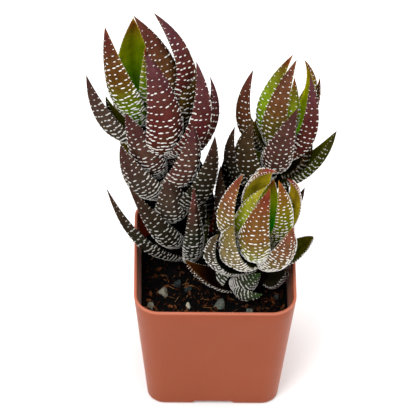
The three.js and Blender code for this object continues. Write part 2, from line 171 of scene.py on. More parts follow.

# Leaf colours as they look on screen: the back at the root, middle and tip, then the inner face likewise,
# how bright the tubercles are, and how much light a young leaf lets through. The inner faces are dark towards
# the root and on older leaves, partly their own colour and partly painted shade for the gaps between the
# leaves;
# on young leaves they are bright, partly their own lime and partly painted light for the light that shines
# through.
TONES = {
    "lime": ((70, 120, 14), (150, 176, 44), (104, 56, 40),
             (70, 180, 4), (188, 212, 12), (134, 76, 36), 1.0, 0.5),
    "fresh": ((96, 110, 24), (130, 110, 34), (116, 66, 50),
              (120, 180, 6), (214, 224, 20), (150, 90, 44), 1.0, 0.5),
    "moss": ((120, 164, 36), (112, 78, 36), (104, 56, 52),
             (60, 84, 8), (150, 160, 20), (120, 70, 34), 1.0, 0.25),
    "brown": ((86, 78, 40), (104, 68, 44), (104, 60, 54),
              (60, 56, 10), (130, 110, 20), (110, 62, 36), 0.9, 0.15),
    "blush": ((100, 112, 36), (120, 84, 50), (112, 68, 62),
              (110, 130, 10), (170, 170, 30), (120, 70, 40), 0.95, 0.25),
    "purple": ((90, 54, 42), (104, 54, 50), (108, 68, 72),
               (40, 20, 8), (80, 52, 20), (100, 54, 44), 0.95, 0.1),
    "wine": ((104, 70, 60), (104, 72, 64), (94, 58, 58),
             (30, 16, 10), (60, 40, 22), (80, 46, 40), 0.9, 0.1),
    "dusk": ((80, 74, 62), (86, 72, 62), (86, 58, 54),
             (24, 20, 10), (50, 40, 16), (76, 46, 34), 0.85, 0.1),
    "olive": ((74, 64, 46), (74, 62, 44), (80, 60, 46),
              (22, 20, 8), (46, 42, 14), (66, 46, 28), 0.85, 0.1),
    "coal": ((42, 40, 32), (56, 52, 42), (74, 54, 46),
             (12, 11, 6), (24, 22, 10), (46, 32, 22), 0.7, 0.05),
    "slate": ((74, 78, 64), (64, 66, 52), (104, 60, 56),
              (22, 26, 14), (44, 50, 26), (90, 48, 40), 0.8, 0.1),
    "amber": ((148, 146, 74), (144, 116, 68), (146, 74, 60),
              (190, 190, 20), (236, 214, 54), (180, 96, 44), 1.0, 0.5),
    "gold": ((100, 122, 18), (144, 142, 36), (144, 74, 46),
             (90, 130, 8), (210, 210, 24), (170, 100, 36), 1.0, 0.5),
    "rust": ((118, 110, 50), (130, 98, 66), (140, 86, 66),
             (60, 54, 12), (130, 96, 26), (130, 70, 36), 1.0, 0.25),
    "sage": ((142, 130, 94), (154, 136, 98), (140, 118, 66),
             (50, 56, 14), (110, 110, 34), (110, 104, 46), 1.0, 0.2),
    "jade": ((54, 46, 36), (84, 90, 70), (82, 108, 64),
             (56, 20, 10), (80, 70, 30), (96, 110, 56), 0.95, 0.15),
    "deep": ((52, 58, 26), (62, 66, 28), (72, 66, 34),
             (62, 68, 8), (94, 94, 16), (96, 90, 24), 0.8, 0.1),
    "russet": ((60, 40, 20), (74, 48, 22), (110, 62, 30),
               (18, 6, 3), (36, 9, 3), (120, 66, 22), 0.85, 0.1),
    # Its back is lightened beyond its own lime: painted light, for a leaf that stands in shade between its
    # neighbours.
    "spring": ((150, 196, 30), (196, 218, 66), (196, 180, 66),
               (90, 160, 6), (206, 210, 20), (150, 110, 40), 1.0, 0.5),
    "flame": ((150, 174, 84), (140, 106, 54), (136, 64, 50),
              (120, 140, 12), (220, 200, 50), (170, 90, 40), 1.0, 0.4),
    "chestnut": ((74, 64, 30), (100, 70, 40), (102, 54, 50),
                 (50, 60, 8), (120, 130, 14), (100, 56, 36), 0.95, 0.15),
    # Near-black leaves with dim tubercles: painted shade for the dark gaps between the stems.
    "painted_shade": ((14, 12, 9), (18, 14, 11), (34, 22, 18),
              (7, 6, 4), (12, 10, 6), (24, 16, 12), 0.32, 0.0),
    "loam": ((40, 38, 26), (60, 58, 42), (70, 56, 44),
             (48, 46, 32), (66, 62, 46), (80, 70, 50), 0.8, 0.1),
    "ash": ((84, 88, 72), (88, 84, 66), (100, 84, 64),
            (22, 26, 14), (44, 50, 26), (90, 60, 40), 0.9, 0.1),
}

SEED = 7

# ---------- mesh helpers ----------


def make_piece(name, points, faces, material, smooth=True, attributes=None):
    """A mesh object from points in millimetres, with float or colour attributes on its points."""
    mesh = bpy.data.meshes.new(name)
    mesh.from_pydata((np.asarray(points, float) * MM).tolist(), [], [list(f) for f in faces])
    mesh.validate()
    for key, values in (attributes or {}).items():
        if values.ndim == 2:
            colours = np.column_stack([values, np.ones(len(values))])
            mesh.attributes.new(key, "FLOAT_COLOR", "POINT").data.foreach_set("color", colours.ravel())
        else:
            mesh.attributes.new(key, "FLOAT", "POINT").data.foreach_set("value", values)
    mesh.polygons.foreach_set("use_smooth", [smooth] * len(mesh.polygons))
    piece = bpy.data.objects.new(name, mesh)
    bpy.context.scene.collection.objects.link(piece)
    piece.data.materials.append(material)
    return piece


class Heap:
    """Gathers many small meshes and their attributes into one."""

    def __init__(self):
        self.points = []
        self.faces = []
        self.values = {}
        self.count = 0

    def add(self, points, faces, **values):
        self.points.append(points)
        self.faces.extend([[i + self.count for i in face] for face in faces])
        for key, value in values.items():
            column = value if np.ndim(value) == 2 else np.full(len(points), value, float)
            self.values.setdefault(key, []).append(column)
        self.count += len(points)

    def piece(self, name, material, smooth=True):
        columns = {key: np.concatenate(parts) for key, parts in self.values.items()}
        return make_piece(name, np.concatenate(self.points), self.faces, material, smooth, columns)


def unit(vectors):
    vectors = np.asarray(vectors, float)
    return vectors / np.linalg.norm(vectors, axis=-1, keepdims=True)


def grid_faces(rows, columns):
    """Quads between closed rings of points that turn anticlockwise as seen from the last ring."""
    faces = []
    for row in range(rows - 1):
        for column in range(columns):
            following = (column + 1) % columns
            a = row * columns + column
            b = row * columns + following
            faces.append((a, b, b + columns, a + columns))
    return faces


def finish_piece(piece, slot, *nodes):
    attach(piece, "root")
    if nodes:
        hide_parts(*nodes)
    return piece


# ---------- material helpers ----------


class Shader:
    """A node material with its Principled shader, and short calls for the nodes that feed it."""

    def __init__(self, name, roughness=0.5, specular=0.5):
        self.material = bpy.data.materials.new(name)
        self.material.use_nodes = True
        self.tree = self.material.node_tree
        self.shader = self.tree.nodes["Principled BSDF"]
        self.shader.inputs["Roughness"].default_value = roughness
        self.shader.inputs["Specular IOR Level"].default_value = specular

    def node(self, kind, **settings):
        node = self.tree.nodes.new(kind)
        for key, value in settings.items():
            setattr(node, key, value)
        return node

    def link(self, source, target):
        self.tree.links.new(source, target)

    def feed(self, socket, value):
        if isinstance(value, bpy.types.NodeSocket):
            self.link(value, socket)
        else:
            socket.default_value = value

    def attribute(self, name):
        return self.node("ShaderNodeAttribute", attribute_name=name).outputs["Fac"]

    def position(self):
        return self.node("ShaderNodeTexCoord").outputs["Object"]

    def noise(self, scale, detail, roughness=0.55):
        node = self.node("ShaderNodeTexNoise")
        node.inputs["Scale"].default_value = scale
        node.inputs["Detail"].default_value = detail
        node.inputs["Roughness"].default_value = roughness
        self.link(self.position(), node.inputs["Vector"])
        return node.outputs["Fac"]

    def math(self, operation, first, second):
        node = self.node("ShaderNodeMath", operation=operation)
        self.feed(node.inputs[0], first)
        self.feed(node.inputs[1], second)
        return node.outputs[0]

    def span(self, value, low, high, to_low=0.0, to_high=1.0):
        """value carried from one range to another, and held inside it."""
        node = self.node("ShaderNodeMapRange")
        node.clamp = True
        self.feed(node.inputs["Value"], value)
        for key, number in (("From Min", low), ("From Max", high), ("To Min", to_low), ("To Max", to_high)):
            node.inputs[key].default_value = number
        return node.outputs["Result"]

    def ramp(self, value, stops):
        node = self.node("ShaderNodeValToRGB")
        ramp = node.color_ramp
        while len(ramp.elements) < len(stops):
            ramp.elements.new(0.5)
        for element, (place, colour) in zip(ramp.elements, stops):
            element.position = place
            element.color = (*colour, 1.0)
        self.link(value, node.inputs["Fac"])
        return node.outputs["Color"]

    def mix(self, share, first, second):
        node = self.node("ShaderNodeMix", data_type="RGBA", blend_type="MIX")
        self.feed(node.inputs["Factor"], share)
        for socket, value in ((node.inputs["A"], first), (node.inputs["B"], second)):
            self.feed(socket, (*value, 1.0) if isinstance(value, tuple) and len(value) == 3 else value)
        return node.outputs["Result"]

    def bump(self, height, distance, normal=None):
        node = self.node("ShaderNodeBump")
        node.inputs["Strength"].default_value = 1.0
        node.inputs["Distance"].default_value = distance
        self.link(height, node.inputs["Height"])
        if normal:
            self.link(normal, node.inputs["Normal"])
        return node.outputs["Normal"]


# A matt surface shows its base colour times this gain, plus this glare.
LIGHT_GAIN = 1.6
GLARE = 0.008


def seen(red, green, blue):
    """The base colour that shows as this screen colour, 0 to 255, under the scene's light."""
    share = np.array([red, green, blue]) / 255
    light = np.where(share <= 0.04045, share / 12.92, ((share + 0.055) / 1.055) ** 2.4)
    return tuple(np.clip((light - GLARE) / LIGHT_GAIN, 0.0015, 1).tolist())


# ---------- materials ----------


def leaf_material():
    look = Shader("leaf_skin", roughness=0.46, specular=0.0)
    tint = look.node("ShaderNodeAttribute", attribute_name="tint").outputs["Color"]
    uneven = look.node("ShaderNodeHueSaturation")
    look.link(tint, uneven.inputs["Color"])
    look.link(look.span(look.noise(110, 4), 0.3, 0.7, 0.485, 0.52), uneven.inputs["Hue"])
    look.link(look.span(look.noise(260, 5), 0.3, 0.7, 0.72, 1.25), uneven.inputs["Value"])
    speck = look.span(look.noise(1700, 2), 0.35, 0.7, 0.0, 0.3)
    colour = look.mix(speck, uneven.outputs["Color"], seen(24, 14, 10))
    look.link(colour, look.shader.inputs["Base Color"])
    look.link(look.span(look.noise(500, 3), 0.3, 0.7, 0.4, 0.54), look.shader.inputs["Roughness"])
    look.link(look.attribute("clear"), look.shader.inputs["Subsurface Weight"])
    look.shader.inputs["Subsurface Radius"].default_value = (0.004, 0.0035, 0.001)
    look.shader.inputs["Subsurface Scale"].default_value = 1.0
    grain = look.bump(look.noise(900, 4), 0.00012)
    look.link(look.bump(look.noise(220, 3), 0.00035, normal=grain), look.shader.inputs["Normal"])
    return look.material


TUBERCLE_STOPS = [(0.25, seen(40, 38, 34)), (0.55, seen(130, 128, 120)), (1.0, (0.74, 0.72, 0.68))]


def tubercle_material():
    look = Shader("tubercle", roughness=0.45, specular=0.35)
    tint = look.ramp(look.attribute("bright"), TUBERCLE_STOPS)
    grain = look.span(look.noise(2400, 2), 0.3, 0.7, 0.0, 0.25)
    look.link(look.mix(grain, tint, seen(190, 180, 165)), look.shader.inputs["Base Color"])
    look.shader.inputs["Subsurface Weight"].default_value = 0.1
    look.shader.inputs["Subsurface Scale"].default_value = 0.3
    look.shader.inputs["Subsurface Radius"].default_value = (0.002, 0.0015, 0.001)
    return look.material


def pot_material():
    look = Shader("pot_plastic", roughness=0.42, specular=0.2)
    cloud = look.noise(28, 3)
    colour = look.ramp(cloud, [(0.3, seen(165, 79, 44)), (0.7, seen(172, 85, 50))])
    height = look.node("ShaderNodeSeparateXYZ")
    look.link(look.position(), height.inputs["Vector"])
    # Painted light: the top of the rim is lightened as if lit from above.
    rim_painted_light = look.span(height.outputs["Z"], (POT_HEIGHT - 1.2) * MM, (POT_HEIGHT - 0.2) * MM, 0.0, 0.7)
    look.link(look.mix(rim_painted_light, colour, seen(226, 140, 112)), look.shader.inputs["Base Color"])
    grain = look.noise(1400, 2)
    look.link(look.span(grain, 0.3, 0.7, 0.36, 0.5), look.shader.inputs["Roughness"])
    ripple = look.bump(look.noise(40, 2), 0.0004)
    look.link(look.bump(grain, 0.00004, normal=ripple), look.shader.inputs["Normal"])
    look.shader.inputs["Sheen Weight"].default_value = 0.45
    look.shader.inputs["Sheen Roughness"].default_value = 0.2
    look.shader.inputs["Sheen Tint"].default_value = (1.0, 0.7, 0.6, 1.0)
    look.shader.inputs["Subsurface Weight"].default_value = 0.35
    look.shader.inputs["Subsurface Scale"].default_value = 1.0
    look.shader.inputs["Subsurface Radius"].default_value = (0.003, 0.0014, 0.0008)
    return look.material


def earth_material(name, stops, scale=700, toned=0.0):
    """Grainy earth; toned is the share of its colour that each lump sets by its own tone."""
    look = Shader(name, roughness=0.9, specular=0.08)
    grain = look.noise(scale, 5, 0.7)
    if toned:
        own = look.span(look.attribute("tone"), 0.0, 1.0, 0.25, 0.85)
        grain = look.math("ADD", look.math("MULTIPLY", grain, 1 - toned), look.math("MULTIPLY", own, toned))
    look.link(look.ramp(grain, stops), look.shader.inputs["Base Color"])
    look.link(look.bump(look.noise(scale * 2.2, 4), 0.0003), look.shader.inputs["Normal"])
    return look.material


def floor_material():
    look = Shader("floor_paper", roughness=0.9, specular=0.1)
    look.link(look.ramp(look.noise(3, 2), [(0.3, (0.93, 0.93, 0.93)), (0.7, (0.95, 0.95, 0.95))]),
              look.shader.inputs["Base Color"])
    return look.material


# ---------- leaves ----------

LEAF_STATIONS = 46
BACK_STEPS = 16
INNER_STEPS = 8
TIP_CROWDING = 1.15
# The back is round near the root and more and more of a keel towards the tip.
KEEL_PLACES = (0.2, 0.6, 0.9)
KEEL_SHARES = (0.0, 0.55, 0.75)
KEEL_HEIGHT = 1.15
FOLD = 0.12
# Where a leaf's three colours stand along it, and how its inner face and the crease in it are set off; the
# crease is darkened by painted shade.
TINT_PLACES = (0.12, 0.52, 0.9)
INNER_SHARPNESS = 6
CREASE_SHARPNESS = 4
CREASE_PAINTED_SHADE = 0.3


def stem_point(name, share):
    foot, bend, tip = (np.array(p, float) for p in STEMS[name])
    place = (1 - share) ** 2 * foot + 2 * share * (1 - share) * bend + share ** 2 * tip
    heading = 2 * (1 - share) * (bend - foot) + 2 * share * (tip - bend)
    return place, unit(heading)


def outline(share):
    """A leaf's width along its length, as a share of its greatest width."""
    share = np.clip(share, 0, 1)
    rise = np.sin(np.clip(share / LEAF_WIDEST, 0, 1) * np.pi / 2)
    fall = 1 - np.clip((share - LEAF_WIDEST) / (1 - LEAF_WIDEST), 0, 1) ** LEAF_TAPER
    return np.where(share < LEAF_WIDEST, LEAF_ROOT_SHARE + (1 - LEAF_ROOT_SHARE) * rise, fall)


class Leaf:
    """One thick pointed leaf: a curved centre line with a flat inner face and a rounded, keeled back."""

    def __init__(self, stem, row):
        self.height, self.direction, self.length, self.width, root_lean, tip_lean, sway, self.tone = row
        place, along = stem_point(stem, self.height)
        turn = math.radians(self.direction)
        out = np.array([math.cos(turn), math.sin(turn), 0.0])
        out = unit(out - along * (out @ along))
        self.side = np.cross(along, out)
        shares = np.linspace(0, 1, LEAF_STATIONS)
        middles = (shares[1:] + shares[:-1]) / 2
        step = self.length / (LEAF_STATIONS - 1)
        lean = self.lean(middles, root_lean, tip_lean)
        steps = step * (np.cos(lean)[:, None] * along + np.sin(lean)[:, None] * out)
        self.centre = place + out * LEAF_ROOT + np.vstack([np.zeros(3), np.cumsum(steps, axis=0)])
        self.centre += (sway * shares ** 2)[:, None] * self.side
        lean = self.lean(shares, root_lean, tip_lean)
        self.back = np.cos(lean)[:, None] * out - np.sin(lean)[:, None] * along
        self.shares = shares
        self.bright, self.clear = TONES[self.tone][6:]

    @staticmethod
    def lean(share, root_lean, tip_lean):
        return np.radians(tip_lean + (root_lean - tip_lean) * (1 - share) ** LEAF_CURL)

    def point(self, share, angle):
        """Points of the skin. The angle runs from 0 to pi over the back, then to 2 pi over the face."""
        share, angle = np.broadcast_arrays(np.asarray(share, float), np.asarray(angle, float))
        centre = np.stack([np.interp(share, self.shares, self.centre[:, i]) for i in range(3)], -1)
        back = np.stack([np.interp(share, self.shares, self.back[:, i]) for i in range(3)], -1)
        size = self.width * outline(share)
        across = np.cos(angle)
        over = np.sin(angle)
        tent = 1 - np.abs(across)
        keel = np.interp(share, KEEL_PLACES, KEEL_SHARES)
        back_depth = LEAF_THICKNESS * ((1 - keel) * over + KEEL_HEIGHT * keel * tent)
        bulge = np.interp(share, [0, 0.2, 0.5, 1], [0.08, 0.02, 0.0, 0.04])
        fold = FOLD * np.interp(share, [0, 0.2, 0.7, 1], [0.0, 1.0, 1.0, 0.0]) * tent
        depth = np.where(over >= 0, back_depth, fold - bulge * over * over)
        return centre - (across * size / 2)[..., None] * self.side + (depth * size)[..., None] * back


def hind_leaves(name):
    """Rows for the leaves at the back of a shoot, to and fro over three directions, from the top down."""
    if name not in HIND_LEAVES:
        return []
    count, *spans = HIND_LEAVES[name]
    rows = []
    for i in range(count):
        share = i / (count - 1)
        height, length, width, root_lean, tip_lean = (high + (low - high) * share for high, low in spans)
        turn = HIND_DIRECTION + HIND_SPREAD * ((i % 3) - 1) * (-1) ** i
        tone = HIND_TONES[name][int(share * HIND_TONE_STEPS)]
        rows.append((height, turn, length, width, root_lean, tip_lean, 0, tone))
    return rows


def leaf_tint(tone, share, inner, crease):
    """Colours along a leaf, on its back where inner is 0 and on its inner face where inner is 1."""
    stops = np.array([seen(*colour) for colour in TONES[tone][:6]])
    back, face = (
        np.column_stack([np.interp(share, TINT_PLACES, part[:, i]) for i in range(3)])
        for part in (stops[:3], stops[3:])
    )
    # Painted shade: the crease down the inner face is darkened, fading out towards the tip.
    face *= (1 - CREASE_PAINTED_SHADE * crease * np.interp(share, [0.75, 0.98], [1.0, 0.0]))[:, None]
    return back + (face - back) * inner[:, None]


def add_leaf_skin(heap, leaf):
    around = np.concatenate([
        np.linspace(0, np.pi, BACK_STEPS, endpoint=False),
        np.linspace(np.pi, 2 * np.pi, INNER_STEPS, endpoint=False),
    ])
    # stations crowd towards the tip, where the outline turns fastest
    shares = 1 - (1 - np.linspace(0, 1, LEAF_STATIONS)) ** TIP_CROWDING
    shares = shares[:-1]
    points = leaf.point(shares[:, None], around[None, :]).reshape(-1, 3)
    count = len(around)
    faces = grid_faces(len(shares), count)
    last = (len(shares) - 1) * count
    tip = len(points)
    faces += [(last + i, last + (i + 1) % count, tip) for i in range(count)]
    faces += [tuple(reversed(range(count)))]
    points = np.vstack([points, leaf.centre[-1]])
    along = np.append(np.repeat(shares, count), 1.0)
    inner_line = np.clip(-np.sin(around) * INNER_SHARPNESS, 0, 1)
    inner = np.append(np.tile(inner_line, len(shares)), 0.0)
    crease_line = np.clip(1 - np.abs(np.cos(around)) * CREASE_SHARPNESS, 0, 1)
    crease_line = np.where(around > np.pi, crease_line, 0)
    crease = np.append(np.tile(crease_line, len(shares)), 0.0)
    tint = leaf_tint(leaf.tone, along, inner, crease)
    heap.add(points, faces, tint=tint, clear=leaf.clear)


# A tubercle's rings from its foot up: their spread and their lift, as shares of its size and height.
DOME_SIDES = 8
DOME_RINGS = ((1.0, -0.35), (0.98, 0.25), (0.62, 0.8))


def add_dome(heap, place, across, along, normal, size, stretch, height, **values):
    """A low dome with an oval foot that sits a little below the leaf's skin."""
    turns = np.arange(DOME_SIDES) / DOME_SIDES * 2 * np.pi
    rings = []
    for spread, lift in DOME_RINGS:
        rings.append(place
                     + (np.cos(turns) * spread * size * stretch)[:, None] * across
                     + (np.sin(turns) * spread * size)[:, None] * along
                     + lift * height * normal)
    points = np.vstack(rings + [place + normal * height])
    faces = grid_faces(len(DOME_RINGS), DOME_SIDES)
    last = (len(DOME_RINGS) - 1) * DOME_SIDES
    top = len(points) - 1
    faces += [(last + i, last + (i + 1) % DOME_SIDES, top) for i in range(DOME_SIDES)]
    faces += [tuple(reversed(range(DOME_SIDES)))]
    heap.add(points, faces, **values)


def skin_frame(leaf, share, angle):
    """A point of the skin with its directions across the leaf, along it and outwards."""
    small = 0.01
    place = leaf.point(share, angle)
    across = unit(leaf.point(share, angle + small) - leaf.point(share, angle - small))
    along = unit(leaf.point(share + small, angle) - leaf.point(share - small, angle))
    return place, across, along, unit(np.cross(across, along))


# Where tubercle rows begin and end, where their broken bands stop, and where they start to shrink towards
# the tip and over what stretch, all as shares of the leaf's length; the rows sag by a share of it too.
ROWS_START = 0.04
ROWS_END = 0.92
BAND_REACH = 0.65
SHRINK_START = 0.7
SHRINK_REACH = 0.22
ROW_SAG = 0.05
# How far it is across the back from edge to edge, in widths of the leaf.
BACK_ARC = 1.4
# The first file stands this many gaps from the edge, and the files share the back with this much slack.
FILE_START = 0.6
FILE_SLACK = 0.2
LEFT_OUT_SHARE = 0.04
TUBERCLE_HEIGHT = 0.32
KEEL_STRETCH = 1.2
BAND_STRETCH = 0.9
BAND_THINNING = 0.25
TIP_SHRINK = 0.35


def add_tubercles(heap, leaf, look, random):
    """Rows across the back: dots in files towards the tip, which run into broken bands towards the root."""
    low_gap, high_gap = look["gap"]
    low_files, high_files = look["file_gap"]
    close = min(1.0, 0.4 + leaf.length / 55)
    share = ROWS_START
    while share < ROWS_END:
        size = float(outline(share))
        near_root = max(0.0, 1 - share / BAND_REACH)
        near_tip = max(0.0, (share - SHRINK_START) / SHRINK_REACH)
        file_gap = (high_files + (low_files - high_files) * near_root) * close
        files = int(leaf.width * size * BACK_ARC / file_gap)
        files = max(2, files) + 1 - max(2, files) % 2
        for k in range(files):
            if random.uniform() < LEFT_OUT_SHARE:
                continue
            angle = math.pi * (k + FILE_START) / (files + FILE_SLACK) + random.normal(0, 0.05)
            sag = ROW_SAG * (0.6 + 0.8 * near_root) * math.sin(angle)
            spot = max(0.02, share - sag + random.normal(0, 0.004))
            keel = KEEL_STRETCH if k == files // 2 else 1.0
            stretch = look["stretch"] * (1 + BAND_STRETCH * near_root) * (1 - TIP_SHRINK * near_tip)
            stretch *= random.uniform(0.7, 1.3)
            stretch *= keel
            radius = look["dot"] * random.uniform(0.75, 1.2) * (0.7 + 0.3 * size)
            radius *= (1 - TIP_SHRINK * near_tip) * (1 - BAND_THINNING * near_root)
            place, across, along, normal = skin_frame(leaf, spot, angle)
            add_dome(heap, place, across, along, normal, radius, stretch, TUBERCLE_HEIGHT, bright=leaf.bright)
        share += np.interp(share, [0.0, 0.6], [low_gap, high_gap]) * close / leaf.length


TEETH_START = 0.08
TEETH_END = 0.93
TOOTH_GAP = 1.5
TOOTH_RADIUS = 0.15
TOOTH_STRETCH = 1.1
TOOTH_HEIGHT = 0.22
TOOTH_SHADE = 0.85


def add_margin(heap, leaf, random):
    """A line of fine teeth along each edge of the leaf."""
    for edge in (0.0, math.pi):
        share = TEETH_START
        while share < TEETH_END:
            place, across, along, normal = skin_frame(leaf, share, edge)
            radius = TOOTH_RADIUS * random.uniform(0.7, 1.2)
            add_dome(heap, place, across, along, normal, radius, TOOTH_STRETCH, TOOTH_HEIGHT,
                     bright=leaf.bright * TOOTH_SHADE)
            share += TOOTH_GAP / leaf.length * random.uniform(0.85, 1.15)


# Dark brown, partly the stem's own colour and partly painted shade for the gaps between the leaves.
STEM_BROWN_AND_SHADE = (34, 26, 18)
STEM_STEPS = 24
STEM_SIDES = 16


def add_stem(heap, name):
    turns = np.arange(STEM_SIDES) / STEM_SIDES * 2 * np.pi
    rings = []
    for i in range(STEM_STEPS + 1):
        share = i / STEM_STEPS
        place, along = stem_point(name, share)
        across = unit(np.cross((0.0, 1.0, 0.0), along))
        over = np.cross(along, across)
        radius = STEM_FOOT_RADIUS + (STEM_TIP_RADIUS - STEM_FOOT_RADIUS) * share
        ring = place + radius * (np.cos(turns)[:, None] * across + np.sin(turns)[:, None] * over)
        rings.append(ring)
    top = len(rings) * STEM_SIDES
    points = np.vstack(rings + [place + along * STEM_TIP_RADIUS])
    faces = grid_faces(STEM_STEPS + 1, STEM_SIDES) + [tuple(reversed(range(STEM_SIDES)))]
    last = top - STEM_SIDES
    faces += [(last + i, last + (i + 1) % STEM_SIDES, top) for i in range(STEM_SIDES)]
    heap.add(points, faces, tint=np.tile(seen(*STEM_BROWN_AND_SHADE), (len(points), 1)), clear=0.0)


def build_shoot(name, skin, tubercle):
    random = np.random.default_rng(SEED)
    look = SHOOT_LOOK[name]
    leaves = Heap()
    dots = Heap()
    stems = [name, SIDE_SHOOTS[name]] if name in SIDE_SHOOTS else [name]
    for stem in stems:
        add_stem(leaves, stem)
        for row in LEAVES[stem] + hind_leaves(stem):
            leaf = Leaf(stem, row)
            add_leaf_skin(leaves, leaf)
            add_tubercles(dots, leaf, look, random)
            add_margin(dots, leaf, random)
    finish_piece(leaves.piece(name + "_leaves", skin), look["slot"], name)
    finish_piece(dots.piece(name + "_tubercles", tubercle), look["slot"])


# ---------- pot ----------

POT_CORNER_STEPS = 10
POT_SIDE_STEPS = 60
POT_FLOOR_RINGS = 20
POT_OUTSIDE_HEIGHTS = (2.0, 3.0, 6.0, 20.0, 38.0, 52.0)
POT_INSIDE_HEIGHTS = (48.0, 30.0, 12.0, POT_FLOOR + POT_FOOT_ROUND + CHANNEL_HEIGHT)
# The rim's two edges are rounded by this share of the wall.
RIM_ROUND = 0.3
DRILL_LENGTH = 8
DRILL_MIDDLE = 2


def pot_half(z):
    return POT_FOOT_WIDTH / 2 + (POT_TOP_WIDTH - POT_FOOT_WIDTH) / 2 * z / POT_HEIGHT


def pot_corner(z):
    return POT_FOOT_CORNER + (POT_TOP_CORNER - POT_FOOT_CORNER) * z / POT_HEIGHT


def rounded_square(half, corner, z, corner_steps, side_steps):
    """A square with round corners, as points that turn anticlockwise seen from above."""
    ring = []
    straight = half - corner
    for quarter in range(4):
        turn = quarter * math.pi / 2
        side = []
        for step in range(1, side_steps):
            side.append((half, -straight + 2 * straight * step / side_steps))
        for step in range(corner_steps + 1):
            angle = step / corner_steps * math.pi / 2
            side.append((straight + corner * math.cos(angle), straight + corner * math.sin(angle)))
        for x, y in side:
            ring.append((x * math.cos(turn) - y * math.sin(turn), x * math.sin(turn) + y * math.cos(turn), z))
    return np.array(ring)


def channel_rise(points):
    """How far the drainage channels lift the pot's underside at these points."""
    x = np.abs(points[:, 0])
    y = np.abs(points[:, 1])
    out = np.maximum(x, y)
    beside = np.minimum(x, y)
    slope = np.clip((CHANNEL_WIDTH / 2 + CHANNEL_SPREAD - beside) / CHANNEL_SPREAD, 0, 1)
    start = POT_FOOT_WIDTH / 2 - CHANNEL_LENGTH
    return CHANNEL_HEIGHT * slope * np.clip((out - start) / CHANNEL_END, 0, 1)


def build_pot(material):
    """One skin that runs up the outside, over the rim, down the inside, and across the floor twice."""
    rings = []

    def ring(z, inset, lift=False):
        points = rounded_square(pot_half(z) - inset, pot_corner(z) - inset, z,
                                POT_CORNER_STEPS, POT_SIDE_STEPS)
        if lift:
            points[:, 2] = np.maximum(points[:, 2], channel_rise(points) + z * 0.25)
        rings.append(points)

    def floor(z, inset, inner):
        half = pot_half(0) - inset
        corner = pot_corner(0) - inset
        order = range(POT_FLOOR_RINGS) if inner else range(POT_FLOOR_RINGS, 0, -1)
        for i in order:
            share = 1 - i / POT_FLOOR_RINGS
            points = rounded_square(max(half * share, 0.02), max(corner * share, 0.01), z,
                                    POT_CORNER_STEPS, POT_SIDE_STEPS)
            points[:, 2] += channel_rise(points)
            rings.append(points)

    floor(0.0, POT_FOOT_ROUND, inner=False)
    ring(0.0, POT_FOOT_ROUND, lift=True)
    for angle in (20, 45, 70, 90):
        turn = math.radians(angle)
        ring(POT_FOOT_ROUND * (1 - math.cos(turn)), POT_FOOT_ROUND * (1 - math.sin(turn)), lift=True)
    for z in POT_OUTSIDE_HEIGHTS:
        ring(z, 0.0, lift=z < 2.5)
    rim = POT_WALL * RIM_ROUND
    top = POT_HEIGHT - rim
    for angle in (0, 30, 60, 90):
        turn = math.radians(angle)
        ring(top + rim * math.sin(turn), rim * (1 - math.cos(turn)))
    for angle in (90, 60, 30, 0):
        turn = math.radians(angle)
        ring(top + rim * math.sin(turn), POT_WALL - rim * (1 - math.cos(turn)))
    for z in POT_INSIDE_HEIGHTS:
        ring(z, POT_WALL)
    floor(POT_FLOOR, POT_WALL + POT_FOOT_ROUND / 2, inner=True)
    count = len(rings[0])
    points = np.vstack(rings)
    faces = grid_faces(len(rings), count)
    faces += [tuple(reversed(range(count))), tuple(range(len(points) - count, len(points)))]
    piece = make_piece("pot_shell", points, faces, material)
    drill_drains(piece)
    piece.data.set_sharp_from_angle(angle=math.radians(50))
    return finish_piece(piece, "pot_plastic", "pot")


def drill_drains(piece):
    """Cuts the drain holes, one through the roof of each channel."""
    for side in range(4):
        turn = side * math.pi / 2
        out = DRAIN_PLACE * MM
        bpy.ops.mesh.primitive_cylinder_add(
            vertices=32, radius=DRAIN_RADIUS * MM, depth=DRILL_LENGTH * MM,
            location=(out * math.cos(turn), out * math.sin(turn), DRILL_MIDDLE * MM))
        drill = bpy.context.object
        cut = piece.modifiers.new("drain", "BOOLEAN")
        cut.operation = "DIFFERENCE"
        cut.solver = "EXACT"
        cut.object = drill
        bpy.context.view_layer.update()
        shape = bpy.data.meshes.new_from_object(piece.evaluated_get(bpy.context.evaluated_depsgraph_get()))
        piece.modifiers.clear()
        piece.data = shape
        bpy.data.objects.remove(drill)


# ---------- soil ----------

SOIL_RINGS = 60
SOIL_CORNER_STEPS = 6
SOIL_SIDE_STEPS = 40
SOIL_WALL_GAP = 0.4
SOIL_FLOOR_GAP = 0.3
CRUMB_COUNT = 1500
FLAKE_COUNT = 900
FLAKE_SIDES = 6
FIBRE_COUNT = 90
FIBRE_SIDES = 5
FIBRE_STEPS = 9
# Fibres stay this near to the pot's middle, along x and along y.
FIBRE_REACH = 27
ROCK_CUTS = 9


def soil_height(x, y):
    edge = np.maximum(np.abs(x), np.abs(y)) / (POT_TOP_WIDTH / 2)
    swell = np.sin(x * SWELL_RATE_X + 1.2) * np.cos(y * SWELL_RATE_Y + 0.4)
    return SOIL_LEVEL + SOIL_MOUND * (1 - edge * edge) + SWELL_HEIGHT * swell


def ripple(x, y, random, waves, longest, shortest):
    """Uneven ground from many waves of random direction, between about -1 and 1."""
    total = np.zeros_like(x)
    for _ in range(waves):
        length = random.uniform(shortest, longest)
        turn = random.uniform(0, 2 * math.pi)
        phase = random.uniform(0, 2 * math.pi)
        total += np.sin((x * math.cos(turn) + y * math.sin(turn)) * 2 * math.pi / length + phase)
    return total / math.sqrt(waves)


